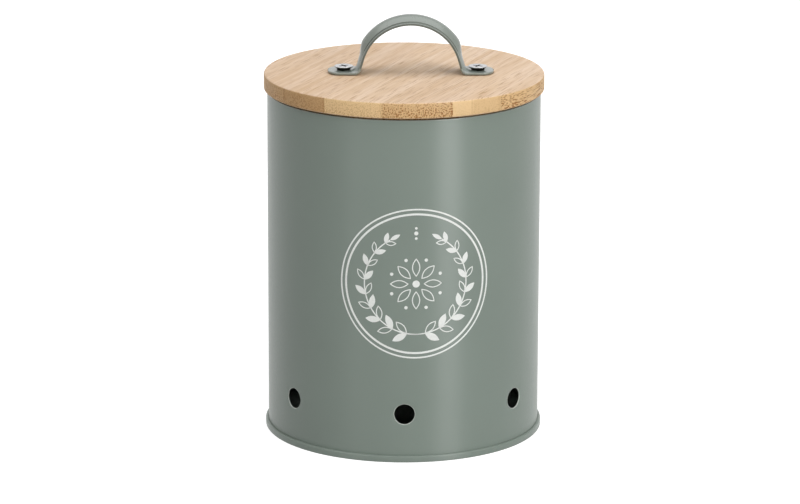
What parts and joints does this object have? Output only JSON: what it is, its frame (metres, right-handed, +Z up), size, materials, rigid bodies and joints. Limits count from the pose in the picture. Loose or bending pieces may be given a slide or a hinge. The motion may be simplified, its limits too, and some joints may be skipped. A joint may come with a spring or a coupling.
{
  "type": "garlic keeper",
  "caption": "Round painted steel can with vent holes near its foot, and a lift-off bamboo lid with a strap handle, for keeping garlic dry and aired.",
  "frame": {"origin": "centre of the circle that the can stands on, at the standing plane", "axes": "+Z up along the can's axis, -Y towards the middle vent hole and the print, +X to the right seen from there"},
  "size_m": [0.1232, 0.1232, 0.1865],
  "materials": {
    "can_paint": "satin grey-green",
    "handle_paint": "satin grey-green",
    "print_ink": "white print",
    "bamboo": "sanded and lightly oiled",
    "silicone": "translucent white",
    "screw_steel": "zinc plated"
  },
  "bodies": {
    "can": {"can_wall": "can_paint", "can_base": "can_paint"},
    "seal": {"lid_seal": "silicone"},
    "lid": {"lid_board": "bamboo", "handle": "handle_paint", "handle_screw_left": "screw_steel", "handle_screw_right": "screw_steel"}
  },
  "joints": [
    {"name": "lid_lift", "type": "slide", "parent": "can", "child": "seal", "axis": [0, 0, 1], "range_m": [0, 0.08]},
    {"name": "lid_turn", "type": "hinge", "parent": "seal", "child": "lid", "pos_m": [0, 0, 0.1533], "axis": [0, 0, 1], "continuous": true}
  ]
}
